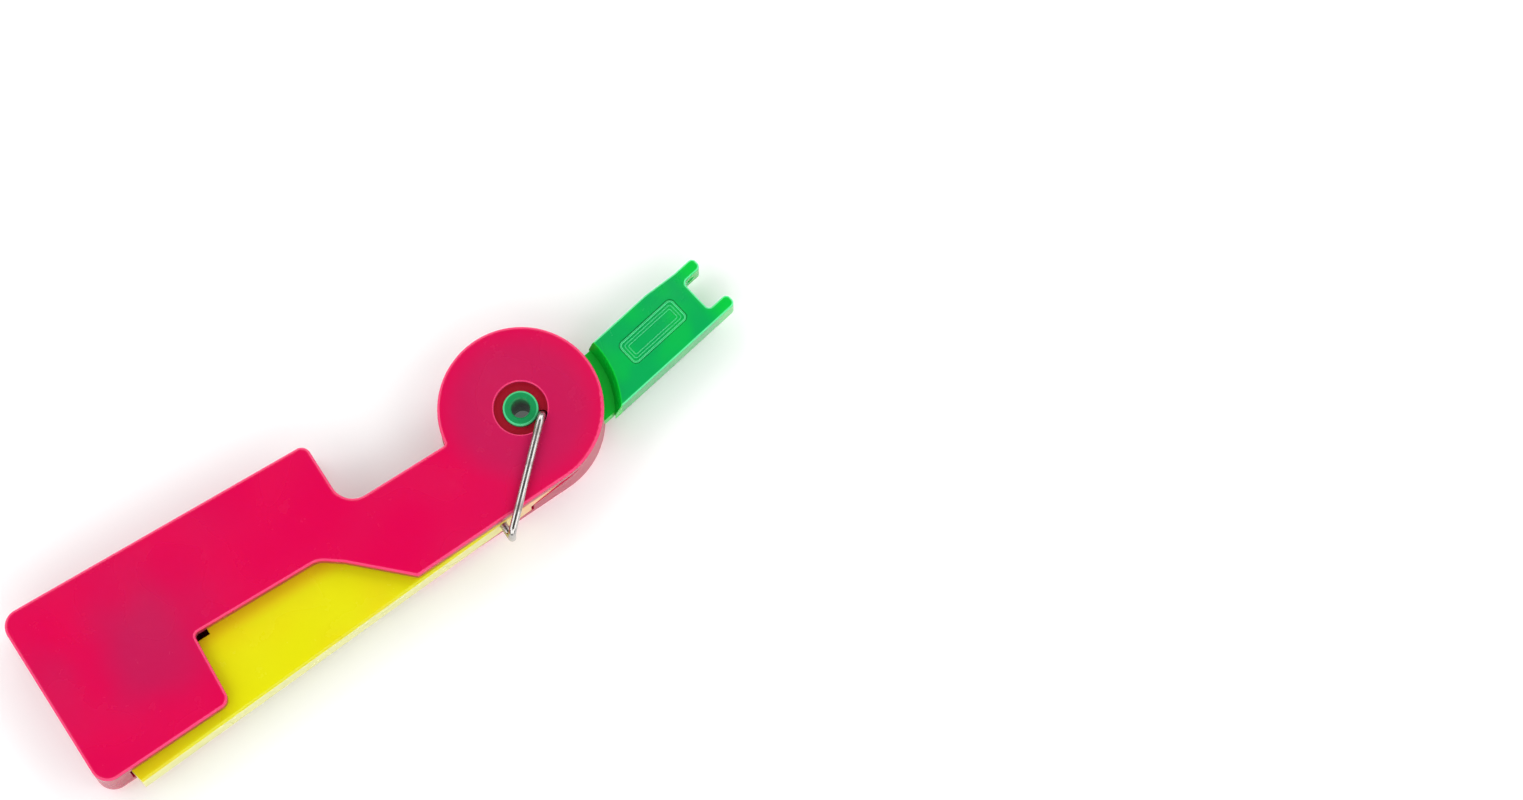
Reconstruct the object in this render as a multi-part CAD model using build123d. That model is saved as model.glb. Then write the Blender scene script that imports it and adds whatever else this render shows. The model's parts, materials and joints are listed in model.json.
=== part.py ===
from build123d import *
from math import atan2, cos, degrees, radians, sin, sqrt, tan
import os

# Hand-held needle threader, in millimetres.
#
# Two cheeks (front and rear shell) make a flat handle with a round hub end. A green arm turns on its
# own hollow trunnion in the hub and folds back between the cheeks like a knife blade. Its forked head
# holds a sewing needle across two prongs. A yellow lever turns on the same trunnion. Pressing it moves
# a push rod, which drives a slider in the arm, and the slider's steel blade carries the thread through
# the needle's eye. A wire spring round the trunnion swings the lever out again.
#
# Hub frame, in which everything is drawn: Z is the hub axis, X runs from the tail to the head, and
# Z = 0 is the flat face that the tool lies on. Arm frame: the hub frame turned by ARM_REST, so that X
# runs out along the arm. A "drop" or an "offset" is a distance to the lower side, which is -Y. "Reach"
# and "at" are distances from the hub axis.

# ---- handle
TAIL_REACH = 60.4        # hub axis to the tail end
HUB_R = 9.15             # round end of the cheeks
TAPER = 2.0              # degrees by which each long edge opens towards the tail
BLOCK_TOP = 9.3          # height of the upper corner beside the notch
NECK_TOP = 0.95          # upper edge of the neck
CHEEK = 1.4              # thickness of each cheek
SLOT = 4.2               # room between the cheeks
WALL = 1.5               # thickness of the rear shell's rim
TAIL_CORNER_R = 2.0
NOTCH_CORNER_R = 1.1
NOTCH_ROOT_R = 2.6
NECK_CORNER_R = 0.3
EDGE_R = 0.4             # rounding of the edges that a hand touches
REAR_CHAMFER = 0.3
MOUTH = 0.15             # flare at the mouth of the ring and of the trunnion's bore

# ---- arm
ARM_REST = 10.5          # degrees above the X axis in the working position
ARM_REACH = 25.5         # hub axis to the prong tips
FORK_DEPTH = 2.65
ARM_UPPER = 0.3          # how far the upper edge lies above the hub axis
ARM_LOWER = 7.15         # offset of the lower edge
TONGUE_INSET = 0.36      # how much the tongue is narrower on its lower side
HUB_TO_STEP = 1.15       # edge of the cheeks to the foot of the head's ramp
STEP_RAMP = 0.7          # width of the ramp, seen from the front
HEAD_SHOULDER = 4.0      # length over which the upper edge falls to the upper prong
FORK_ROOT_R = 0.5
TONGUE_STEP = 0.12       # step from the head's rear face to the tongue's
TONGUE_ROOT = 1.0        # how far the tongue runs into the head
TONGUE_TAIL = 0.6        # how far the tongue's lower side reaches behind the hub axis
PRONG_INSET = 0.4        # upper prong, measured from the upper edge
PRONG_W = 1.45
LOWER_PRONG_W = 1.5
PRONG_TIP_R = 0.6
HEAD_EDGE_R = 0.25
HEAD_REAR_CHAMFER = 0.2
PANEL_AHEAD = 2.3        # foot of the ramp to the sunk panel
PANEL_BEHIND = 2.15      # panel to the fork bottom
PANEL_UPPER, PANEL_LOWER = 1.7, 4.9
PANEL_DEPTH = 0.18
PANEL_CORNER_R = 0.7

# ---- needle socket
NEEDLE_HOLE_R = 0.6
NEEDLE_AHEAD = 0.95      # fork bottom to the needle's axis
NEEDLE_SEAT = 0.9        # depth of the blind end in the lower prong
NEEDLE_FUNNEL = 0.35

# ---- hub
TRUNNION_R = 1.95
TRUNNION_BORE_R = 1.05
TRUNNION_INSET = 0.15    # how far each end of the trunnion stays below the cheek's face
RING_DEPTH = 0.8         # counterbore round the trunnion in the front cheek
RUNNING = 0.05           # radial clearance of everything that turns on the trunnion
BOSS_WALL_R = 1.65       # wall of the tongue's round end
THRUST_WALL = 0.75       # wall of the collar that keeps the tongue off the rear cheek
EAR_WALL = 1.25          # wall of the lever's ear outside the spring's coil
RIM_GAP = 0.3            # what swings inside the hub's rim to the rim
REST_GAP = 0.06          # arm's lower edge to the rim's end face

# ---- clearances between layers
LAYER_GAP = 0.15
HEAD_GAP = 0.25          # head to each cheek when folded

# ---- thumb window, open at the lower edge of both cheeks
WINDOW_TAIL = 43.2       # hub axis to the tail side of the window
WINDOW_PAST_ARM = 2.1    # folded arm's tips to the end of the window's upper edge
WINDOW_BEND = 2.3        # from there to the start of the slope
WINDOW_BEND_DROP = 1.7
WINDOW_SLOPE = 8.3       # from there to the point where the slope meets the lower edge
WINDOW_TOP = 2.2         # drop of its upper edge below the hub axis
WINDOW_FALL = 0.3        # further drop of that edge at its head end
WINDOW_LEAN = 0.5        # lean of its tail side
WINDOW_CORNER_R = 0.5
WINDOW_BEND_R = 2.5
WINDOW_MOUTH_R = 1.2
NOTCH_BEHIND_TIPS = 3.5  # the folded arm's tips enter the block by this much

# ---- lever
LEVER_PRESS = 7.5        # degrees of travel
EAR_T = 1.6              # thickness of its plate and hub ear
LEVER_SHORT = 2.65       # tail end to the lever's curved end
TOE_SHORT = 1.7          # tail end to the end of the lever's toe
EDGE_INSIDE = 0.17       # hub's radius less the drop of the lever's edge at the hub axis
LEVER_SLOPE = 0.0675     # rise of the lower edge towards the head
LEVER_TAIL_TOP = 2.85    # drop of the upper edge in the tail
LEVER_MID_TOP = 1.6      # drop of the upper edge behind the window
STEP_IN_WINDOW = 1.5     # step between the two, measured from the window's tail side
LEVER_WALL = 1.2
LEVER_RIBS, RIB_T = 3, 0.9
NECK_TURN, NECK_DROP = 10.7, 1.8
SIGHT_LAP = 0.2          # how far the plate reaches past the window's edge
LEVER_TOE_TOP, LEVER_TOE_DROP = 5.2, 8.3
TOE_GAP = 0.08
TOE_ROOT = 4.0           # how far the toe reaches into the lever
LEVER_END_GAP = 0.25
LEVER_CORNER = 1.3       # height of the lever's end beside the hub rim
STRIP_FULL = 4.6         # the lever's edge wall has its full depth up to here, behind the hub axis
STRIP_TO = 1.0           # and thins out ahead of the hub axis
STRIP_DEPTH = 0.6        # depth of that wall below the plate
STRIP_TIP = 0.15
EAR_CORNER_ANGLE = 37.0  # where the plate's outline meets the ear, below the X axis
NECK_LEAN = 25.2         # lean of that outline between the strip and the ear

# ---- drive
TRAVEL = 2.6             # stroke of the push rod and the slider
SLIDER_PASS = 0.9        # trunnion to the near side of the slider
SLIDER_W = 1.7
SLIDER_T = 0.75
SLIDER_TAIL = 4.3
SLIDE_CLEAR = 0.1
RAMP_TO_BLOCK = 1.6      # foot of the head's ramp to the slider's block
BLOCK_LEN = 3.3
SLIDER_BLOCK_W = 3.2
BLOCK_BACK = 0.3         # room behind the block at rest
POCKET_WALL_T = 2.95     # end of the pocket to the fork bottom
POCKET_SKIN = 0.75
COVER_T = 0.6
COVER_LIP = 0.7
COVER_FIT = 0.04
BLADE_W, BLADE_T = 0.8, 0.25
BLADE_BACK = 0.4         # tip to the fork bottom at rest
BLADE_ROOT = 1.6         # length held in the slider
BLADE_FORK = 0.35
BLADE_LAND = 0.1         # flat left on each side of the blade's forked tip
PUSH_GAP = 0.15
ROD_BELOW_SLIDER = 0.9
ROD_W = 1.8
ROD_T = 1.85
ROD_BOSS_R = 1.0
CAM_PIN_R = 0.85
CAM_BEHIND_TIPS = 3.9    # the cam pin to the folded arm's tips, towards the hub
CAM_BELOW_ROD = 0.7
CAM_CLEAR = 0.08
CAM_OVERRUN = 0.04       # share of the stroke by which the slot runs on at each end
GUIDE_FROM, GUIDE_TO = 15.5, 9.0
GUIDE_T = 0.8
GUIDE_GAP = 0.45         # top of the guides to the lever

# ---- springs
WIRE_R = 0.44
WIRE_SIDES = 12          # facets of the wire's section
WIRE_CLEAR = 0.12
COIL_PLAY = 0.03         # trunnion to the inside of the coil
COIL_INSET = 0.1         # coil's top below the ear's face
COIL_FLOOR = 0.07        # coil to the floor of its bed
COIL_LEAVE_ANGLE = 90.0
HIDDEN_LEG = 6.2
LEG_EXIT_ANGLE = -60.5
RISE_BEND_R = 0.5
WIRE_BEND_R = 0.95
LEG_CLEAR = 0.04         # visible leg to the front cheek's face
LEG_BACK = 8.3           # the visible leg's end behind the hub axis
LEG_OUT = 1.96           # and outside the lever's edge
LEG_TIP = 1.2            # length of the leg's tip inside the lever
LEG_HOLE_CLEAR = 0.06
LEG_HOLE_DEPTH = 1.8
SLOT_SPARE = 3.0         # degrees of spare slot at each end of the rise's travel
PEG_R = 0.7
PEG_FROM_END = 0.2
PEG_TOUCH = 0.02         # hidden leg to its peg
RETURN_WIRE = 0.24
RETURN_COIL_R = 0.87
RETURN_TURNS = 4
SPRING_SEAT = 0.06

# ---- pegs that join the shells
PEG_HOLE_CLEAR = 0.03
PEG_END_GAP = 0.2
BOSS_WALL = 0.9
SHELL_PEG_R = 1.0
SMALL_PEG_R = 0.6
PEG_DEPTH = 2.2
STOP_BOSS_IN = 9.9       # tail end to the boss that stops the lever
STOP_GAP = 0.15
UPPER_BOSS_IN = 11.5     # notch wall to the upper boss
UPPER_BOSS_GAP = 0.4
CORNER_PEG_IN, CORNER_PEG_UP = 1.6, 1.55
ROUND_PEG_ANGLE = 20.0
POCKET_ROOM = 2.0        # folded arm's tips to the wall behind them
POCKET_WALL = 1.0
POCKET_GAP = 0.6         # pressed lever to that wall

# ---- derived places and heights
ARM_ROOT = ARM_REACH - FORK_DEPTH
NOTCH_REACH = ARM_REACH - NOTCH_BEHIND_TIPS
WINDOW_HEAD = ARM_REACH + WINDOW_PAST_ARM
WINDOW_TIP = WINDOW_HEAD - WINDOW_SLOPE
STEP_R = HUB_R + HUB_TO_STEP
PANEL_FROM, PANEL_TO = STEP_R + PANEL_AHEAD, ARM_ROOT - PANEL_BEHIND
LEVER_REACH = TAIL_REACH - LEVER_SHORT
LEVER_TOE_R = TAIL_REACH - TOE_SHORT
LEVER_EDGE = HUB_R - EDGE_INSIDE
LEVER_STEP = WINDOW_TAIL - STEP_IN_WINDOW
COIL_R = TRUNNION_R + COIL_PLAY + WIRE_R
RING_R = COIL_R + WIRE_R + WIRE_CLEAR
EAR_R = RING_R + EAR_WALL
BOSS_R = TRUNNION_R + BOSS_WALL_R
THRUST_R = TRUNNION_R + THRUST_WALL
SLIDER_OFFSET = TRUNNION_R + SLIDER_PASS + SLIDER_W / 2
BLOCK_FROM = STEP_R + RAMP_TO_BLOCK
POCKET_TO = ARM_ROOT - POCKET_WALL_T
ROD_DROP = SLIDER_OFFSET + ROD_BELOW_SLIDER
CAM_PIN_X, CAM_PIN_DROP = ARM_REACH - CAM_BEHIND_TIPS, ROD_DROP + CAM_BELOW_ROD
COIL_BED = COIL_INSET + 2 * WIRE_R + COIL_FLOOR
REAR_IN = CHEEK
FRONT_IN = CHEEK + SLOT
TOTAL = FRONT_IN + CHEEK
EAR_Z1 = FRONT_IN - LAYER_GAP
EAR_Z0 = EAR_Z1 - EAR_T
TONGUE_Z0 = REAR_IN + LAYER_GAP
TONGUE_Z1 = EAR_Z0 - LAYER_GAP
HEAD_Z0 = REAR_IN + HEAD_GAP
HEAD_Z1 = FRONT_IN - HEAD_GAP
NEEDLE_Z = (HEAD_Z0 + HEAD_Z1) / 2
STRIP_Z0 = EAR_Z0 - STRIP_DEPTH
FAR = 2 * TAIL_REACH     # reaches past everything
OVERRUN = 1.0            # how far a cutter runs past the face that it opens


# ---- helpers
def slab(sketch, low, high):
    """A plane outline given thickness from height low to height high."""
    return extrude(Plane.XY.offset(low) * sketch, amount=high - low)


def disc(radius, x=0.0, y=0.0):
    return Pos(x, y) * Circle(radius)


def post(radius, low, high, x=0.0, y=0.0):
    return slab(disc(radius, x, y), low, high)


def flare(radius, mouth, depth):
    """Cone that opens a round hole at its mouth; a negative depth opens it downwards."""
    align = (Align.CENTER, Align.CENTER, Align.MAX)
    cone = Cone(radius, radius + abs(depth), abs(depth), align=align)
    return Pos(0, 0, mouth) * (cone if depth > 0 else Rot(180, 0, 0) * cone)


def area(*points):
    return make_face(Polyline(*points, close=True))


def block(x0, x1, y0, y1):
    return area((x0, y0), (x1, y0), (x1, y1), (x0, y1))


def round_corner(sketch, x, y, radius):
    """Round the corner of an outline that lies nearest to a point."""
    corner = sketch.vertices().sort_by_distance((x, y, 0))[0]
    return fillet(corner, radius)


def rim_edges(solid, height):
    """The edges of a solid that lie in one horizontal plane."""
    return solid.edges().filter_by_position(Axis.Z, height - 0.001, height + 0.001)


def in_arm(shape, angle=ARM_REST):
    """Carry a shape from the arm frame to the hub frame."""
    return Rot(0, 0, angle) * shape


def turned(x, y, angle):
    """A point turned about the hub axis."""
    a = radians(angle)
    return x * cos(a) - y * sin(a), x * sin(a) + y * cos(a)


# ---- outlines of the handle
def lower_y(x):
    """Lower edge of the cheeks, tangent to the round end."""
    return x * tan(radians(TAPER)) - HUB_R / cos(radians(TAPER))


def top_y(x):
    return BLOCK_TOP - (x + NOTCH_REACH) * tan(radians(TAPER))


def lever_y(x):
    """Lower edge of the lever at rest."""
    return LEVER_SLOPE * x - LEVER_EDGE


def cheek_outline():
    touch = radians(TAPER)
    handle = area(
        (-TAIL_REACH, lower_y(-TAIL_REACH)),
        (HUB_R * sin(touch), -HUB_R * cos(touch)),
        (0, 0),
        (0, NECK_TOP),
        (-NOTCH_REACH, NECK_TOP),
        (-NOTCH_REACH, BLOCK_TOP),
        (-TAIL_REACH, top_y(-TAIL_REACH)),
    )
    neck_x = sqrt(HUB_R**2 - NECK_TOP**2)
    outline = (handle + Circle(HUB_R)).clean()
    outline = round_corner(outline, -TAIL_REACH, lower_y(-TAIL_REACH), TAIL_CORNER_R)
    outline = round_corner(outline, -TAIL_REACH, top_y(-TAIL_REACH), TAIL_CORNER_R)
    outline = round_corner(outline, -NOTCH_REACH, BLOCK_TOP, NOTCH_CORNER_R)
    outline = round_corner(outline, -NOTCH_REACH, NECK_TOP, NOTCH_ROOT_R)
    return round_corner(outline, -neck_x, NECK_TOP, NECK_CORNER_R)


def window_slope():
    """Point where the window's upper edge turns down to the lower edge of the cheek."""
    return -WINDOW_HEAD + WINDOW_BEND, -WINDOW_TOP - WINDOW_FALL - WINDOW_BEND_DROP


def cheek_with_window():
    bend_x, bend_y = window_slope()
    tip_y = lower_y(-WINDOW_TIP)
    mouth_y = lower_y(-WINDOW_TAIL - WINDOW_LEAN)
    outline = cheek_outline() - area(
        (-WINDOW_TAIL, -WINDOW_TOP),
        (-WINDOW_HEAD, -WINDOW_TOP - WINDOW_FALL),
        (bend_x, bend_y),
        (-WINDOW_TIP, tip_y),
        (-WINDOW_TIP, tip_y - WALL),
        (-WINDOW_TAIL - WINDOW_LEAN, mouth_y - WALL),
        (-WINDOW_TAIL - WINDOW_LEAN, mouth_y),
    )
    outline = round_corner(outline, -WINDOW_TAIL, -WINDOW_TOP, WINDOW_CORNER_R)
    outline = round_corner(outline, -WINDOW_HEAD, -WINDOW_TOP - WINDOW_FALL, WINDOW_BEND_R)
    outline = round_corner(outline, bend_x, bend_y, WINDOW_BEND_R)
    outline = round_corner(outline, -WINDOW_TIP, tip_y, WINDOW_CORNER_R)
    return round_corner(outline, -WINDOW_TAIL - WINDOW_LEAN, mouth_y, WINDOW_MOUTH_R)


# ---- places that several pieces share
def stop_boss():
    """Boss above the lever's tail: the pressed lever's upper edge comes up against it."""
    x = -TAIL_REACH + STOP_BOSS_IN
    top = turned(x, -LEVER_TAIL_TOP, -LEVER_PRESS)[1]
    return x, top + SHELL_PEG_R + BOSS_WALL + STOP_GAP, SHELL_PEG_R


def upper_boss():
    """Boss under the upper edge, behind the notch."""
    x = -NOTCH_REACH - UPPER_BOSS_IN
    return x, top_y(x) - WALL - SHELL_PEG_R - UPPER_BOSS_GAP, SHELL_PEG_R


def corner_boss():
    x = -TAIL_REACH + CORNER_PEG_IN
    return x, lower_y(x) + CORNER_PEG_UP, SMALL_PEG_R


def rim_inner_r():
    """The rim's inner radius clears the arm's rear corner and the slider's tail as they swing."""
    corner = sqrt(TONGUE_TAIL**2 + (ARM_LOWER - TONGUE_INSET) ** 2)
    tail = sqrt(SLIDER_TAIL**2 + (SLIDER_OFFSET + SLIDER_W / 2) ** 2)
    return max(corner, tail) + RIM_GAP


def round_boss():
    r = (HUB_R + rim_inner_r()) / 2
    angle = radians(ROUND_PEG_ANGLE)
    return r * sin(angle), -r * cos(angle), SMALL_PEG_R


def pegs():
    return stop_boss(), upper_boss(), corner_boss(), round_boss()


def toe_ledge_y():
    return -LEVER_TOE_DROP - TOE_GAP


# ---- rear shell
def tail_corner():
    """Solid lower corner of the tail, hollowed to the arc that the lever's end sweeps."""
    outside = cheek_outline() & block(-TAIL_REACH, -WINDOW_TAIL, -FAR, toe_ledge_y())
    return outside - disc(LEVER_REACH + LEVER_END_GAP)


def handle_rim():
    """Rim along the tail end and the upper edge, up to the pocket that takes the folded arm."""
    pocket_x = -ARM_REACH - POCKET_ROOM
    tail_x = -TAIL_REACH + WALL
    inner = area((tail_x, -FAR), (0, -FAR), (0, top_y(0) - WALL), (tail_x, top_y(tail_x) - WALL))
    ring = cheek_outline() & block(-TAIL_REACH, pocket_x - POCKET_WALL, toe_ledge_y(), FAR)
    pocket_low = turned(-WINDOW_HEAD, -LEVER_MID_TOP, -LEVER_PRESS)[1] + POCKET_GAP
    pocket_wall = cheek_outline() & block(pocket_x - POCKET_WALL, pocket_x, pocket_low, FAR)
    return (ring - inner) + pocket_wall


def under_strip(drop):
    """Space under the lever's edge strip, whose underside slants up and thins the strip to its tip."""
    slope = (EAR_Z1 - STRIP_TIP - STRIP_Z0) / (STRIP_TO + STRIP_FULL)
    low = STRIP_Z0 - drop
    profile = area(
        (-STRIP_FULL, -OVERRUN),
        (HUB_R, -OVERRUN),
        (HUB_R, low + slope * (HUB_R + STRIP_FULL)),
        (-STRIP_FULL, low),
    )
    return extrude(Plane.XZ * profile, amount=2 * HUB_R, both=True)


def hub_rim():
    """Rim round the hub from the lever's strip to the arm, whose lower edge rests on its end face."""
    ring = cheek_outline() - disc(rim_inner_r())
    lower = ring & block(-STRIP_FULL + RIM_GAP, HUB_R, -FAR, 0)
    rest = in_arm(block(-FAR, FAR, -(ARM_LOWER - TONGUE_INSET) - REST_GAP, FAR))
    return slab(lower - rest, REAR_IN, FRONT_IN) & under_strip(LAYER_GAP)


def rod_guides():
    """Two ribs that keep the push rod straight."""
    upper_y = -ROD_DROP + ROD_W / 2 + SLIDE_CLEAR
    low_y = -ROD_DROP - ROD_W / 2 - SLIDE_CLEAR
    upper = block(-GUIDE_FROM, -GUIDE_TO, upper_y, upper_y + GUIDE_T)
    lower = block(-GUIDE_FROM, -GUIDE_TO, low_y - GUIDE_T, low_y)
    return slab(upper + lower, REAR_IN, EAR_Z0 - GUIDE_GAP)


def rear_shell():
    plate = slab(cheek_with_window(), 0, REAR_IN)
    plate = chamfer(rim_edges(plate, 0), REAR_CHAMFER)
    plate -= post(TRUNNION_R + RUNNING, -OVERRUN, FRONT_IN)
    shell = plate + slab(tail_corner(), REAR_IN, FRONT_IN) + slab(handle_rim(), REAR_IN, FRONT_IN)
    shell += hub_rim()
    shell += rod_guides()
    for x, y, peg_r in pegs()[:2]:
        shell += post(peg_r + BOSS_WALL, REAR_IN, FRONT_IN, x, y)
    for x, y, peg_r in pegs():
        shell -= post(peg_r + PEG_HOLE_CLEAR, FRONT_IN - PEG_DEPTH - PEG_END_GAP, TOTAL, x, y)
    return shell


# ---- front shell
def spring_peg():
    """Peg under the front cheek that the spring's hidden leg bears on."""
    return HIDDEN_LEG - PEG_R - PEG_FROM_END, COIL_R - WIRE_R - PEG_R - PEG_TOUCH


def wire_slot():
    """Curved slot in the floor of the ring, through which the wire rises from its coil."""
    rise, _ = spring_rise()
    first = degrees(atan2(rise.Y, rise.X)) + SLOT_SPARE
    middle = CenterArc((0, 0), sqrt(rise.X**2 + rise.Y**2), first, -LEVER_PRESS - 2 * SLOT_SPARE)
    return SlotArc(middle, 2 * (WIRE_R + WIRE_CLEAR))


def front_shell():
    plate = slab(cheek_with_window(), FRONT_IN, TOTAL)
    plate = fillet(rim_edges(plate, TOTAL), EDGE_R)
    plate -= post(RING_R, TOTAL - RING_DEPTH, TOTAL + OVERRUN)
    plate -= flare(RING_R, TOTAL, MOUTH)
    plate -= post(TRUNNION_R + RUNNING, REAR_IN, TOTAL)
    plate -= slab(wire_slot(), REAR_IN, TOTAL)
    for x, y, peg_r in pegs():
        plate += post(peg_r, FRONT_IN - PEG_DEPTH, FRONT_IN, x, y)
    x, y = spring_peg()
    return plate + post(PEG_R, TONGUE_Z1 + LAYER_GAP, FRONT_IN, x, y)


# ---- lever
def lever_profile():
    """Outline of the lever's plate from its curved tail end to the corner beside the hub rim."""
    fold_x = -ARM_REACH
    fold_y = window_slope()[1] + SIGHT_LAP
    end_y = lever_y(STRIP_TO) + LEVER_CORNER
    ear_y = -EAR_R * sin(radians(EAR_CORNER_ANGLE))
    outline = area(
        (-TAIL_REACH, lever_y(-TAIL_REACH)),
        (STRIP_TO, lever_y(STRIP_TO)),
        (STRIP_TO, end_y),
        (STRIP_TO + (ear_y - end_y) * tan(radians(NECK_LEAN)), ear_y),
        (0, 0),
        (-NECK_TURN, -ARM_UPPER - NECK_DROP),
        (fold_x, fold_y),
        (fold_x + fold_y + LEVER_MID_TOP, -LEVER_MID_TOP),
        (-LEVER_STEP, -LEVER_MID_TOP),
        (-LEVER_STEP, -LEVER_TAIL_TOP),
        (-TAIL_REACH, -LEVER_TAIL_TOP),
    )
    return outline & disc(LEVER_REACH)


def lever_toe():
    toe = block(-TAIL_REACH, -LEVER_REACH + TOE_ROOT, -LEVER_TOE_DROP, -LEVER_TOE_TOP)
    return toe & disc(LEVER_TOE_R)


def cam_point(share):
    """Place of the cam pin in the lever's frame after a share of the stroke."""
    return turned(-CAM_PIN_X + share * TRAVEL, -CAM_PIN_DROP, share * LEVER_PRESS)


def cam_slot():
    """Slanted slot in the lever's plate that drives the cam pin along a straight line."""
    slot = Sketch()
    steps = 8
    width = CAM_PIN_R + CAM_CLEAR
    run = 1 + 2 * CAM_OVERRUN
    points = [cam_point(run * i / steps - CAM_OVERRUN) for i in range(steps + 1)]
    for (x0, y0), (x1, y1) in zip(points, points[1:]):
        length = sqrt((x1 - x0) ** 2 + (y1 - y0) ** 2)
        tilt = degrees(atan2(y1 - y0, x1 - x0))
        middle = Pos((x0 + x1) / 2, (y0 + y1) / 2) * Rot(0, 0, tilt)
        slot += middle * Rectangle(length, 2 * width)
        slot += disc(width, x1, y1)
    return slot + disc(width, *points[0])


def lever_walls():
    """Edge walls under the plate: a trough in the tail and a single wall along the lower edge."""
    tail = lever_profile() & block(-TAIL_REACH, -WINDOW_HEAD, -FAR, 0)
    hollow = offset(tail, -LEVER_WALL, kind=Kind.INTERSECTION)
    pitch = (LEVER_REACH - WINDOW_HEAD) / (LEVER_RIBS + 1)
    for i in range(LEVER_RIBS):
        x = -WINDOW_HEAD - (i + 1) * pitch
        hollow -= block(x - RIB_T / 2, x + RIB_T / 2, -FAR, 0)
    return (tail - hollow) + edge_band(-LEVER_REACH, -STRIP_FULL)


def edge_band(x0, x1):
    """Wall of the lever along its lower edge, seen from the front."""
    return lever_profile() & area(
        (x0, lever_y(x0) - OVERRUN),
        (x1, lever_y(x1) - OVERRUN),
        (x1, lever_y(x1) + LEVER_WALL),
        (x0, lever_y(x0) + LEVER_WALL),
    )


def touched(edge):
    """True for the lever's lower edge, where the thumb rests, and its end beside the hub rim."""
    middle = edge.center()
    return middle.Y < lever_y(middle.X) + LEVER_WALL


def lever():
    """Plate with its ear round the trunnion, walls under its edges, and the bed of the coil."""
    plate = slab(lever_profile() + disc(EAR_R), EAR_Z0, EAR_Z1)
    plate = fillet([e for e in rim_edges(plate, EAR_Z1) if touched(e)], EDGE_R)
    body = plate + slab(lever_walls(), TONGUE_Z0, EAR_Z0) + slab(lever_toe(), TONGUE_Z0, EAR_Z1)
    body += slab(edge_band(-STRIP_FULL - OVERRUN, STRIP_TO), STRIP_Z0, EAR_Z0)
    body -= under_strip(0) - post(rim_inner_r() - RIM_GAP, -CHEEK, FAR)
    coil_floor = EAR_Z1 - COIL_BED
    body -= post(TRUNNION_R + RUNNING, 0, TOTAL)
    body -= post(COIL_R + WIRE_R + WIRE_CLEAR, coil_floor, TOTAL)
    body -= slab(leg_notch(), coil_floor, TOTAL)
    body -= slab(cam_slot(), EAR_Z0, TOTAL)
    return body - leg_hole()


def leg_notch():
    """Way out for the spring's hidden leg, wide enough for the lever to turn."""
    half = WIRE_R + WIRE_CLEAR
    notch = Sketch()
    for share in (0, 0.5, 1):
        notch += Rot(0, 0, share * LEVER_PRESS) * block(0, HUB_R, COIL_R - half, COIL_R + half)
    return notch


def leg_height():
    """Height at which the visible leg's tip enters the lever's lower edge."""
    return (EAR_Z0 + EAR_Z1) / 2


def leg_hole():
    end_y = lever_y(-LEG_BACK)
    hole = Cylinder(WIRE_R + LEG_HOLE_CLEAR, 2 * LEG_HOLE_DEPTH)
    return Pos(-LEG_BACK, end_y, leg_height()) * Rot(90, 0, 0) * hole


# ---- arm
def slider_y():
    return -SLIDER_OFFSET


def slider_z():
    """Bottom of the slider, just above the head's cover."""
    return HEAD_Z0 + COVER_T + SLIDE_CLEAR


def channel(from_x, to_x):
    half = SLIDER_W / 2 + SLIDE_CLEAR
    return block(from_x, to_x, slider_y() - half, slider_y() + half)


def pocket():
    half = SLIDER_BLOCK_W / 2 + SLIDE_CLEAR
    return block(BLOCK_FROM - BLOCK_BACK, POCKET_TO, slider_y() - half, slider_y() + half)


def cover_outline():
    half = SLIDER_BLOCK_W / 2 + SLIDE_CLEAR + COVER_LIP
    start = BLOCK_FROM - BLOCK_BACK
    plate = block(start, POCKET_TO + COVER_LIP, slider_y() - half, slider_y() + half)
    return fillet(plate.vertices().group_by(Axis.X)[-1], COVER_LIP)


def fork_outline():
    """Head with its two prongs, seen from the front."""
    upper = ARM_UPPER - PRONG_INSET
    lower = -ARM_LOWER
    head = area(
        (0, lower),
        (ARM_REACH, lower),
        (ARM_REACH, upper),
        (ARM_ROOT, upper),
        (ARM_ROOT - HEAD_SHOULDER, ARM_UPPER),
        (0, ARM_UPPER),
    )
    gap_low, gap_high = lower + LOWER_PRONG_W, upper - PRONG_W
    head -= block(ARM_ROOT, ARM_REACH + OVERRUN, gap_low, gap_high)
    for y in (lower, gap_low, gap_high, upper):
        head = round_corner(head, ARM_REACH, y, PRONG_TIP_R)
    for y in (gap_low, gap_high):
        head = round_corner(head, ARM_ROOT, y, FORK_ROOT_R)
    return head - disc(STEP_R)


def step_ramp():
    """Cone that slopes the head's inner end down to the tongue."""
    rise = HEAD_Z1 - TONGUE_Z1
    ramp = Cone(STEP_R, STEP_R + STEP_RAMP, rise, align=(Align.CENTER, Align.CENTER, Align.MIN))
    return Pos(0, 0, TONGUE_Z1) * ramp


def tongue_outline():
    """Thin part of the arm that lies between the cheeks, and its round end."""
    low = -(ARM_LOWER - TONGUE_INSET)
    strip = block(-TONGUE_TAIL, STEP_R + TONGUE_ROOT, low, ARM_UPPER - TONGUE_INSET / 2)
    return strip + disc(BOSS_R)


def needle_x():
    return ARM_ROOT + NEEDLE_AHEAD


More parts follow.
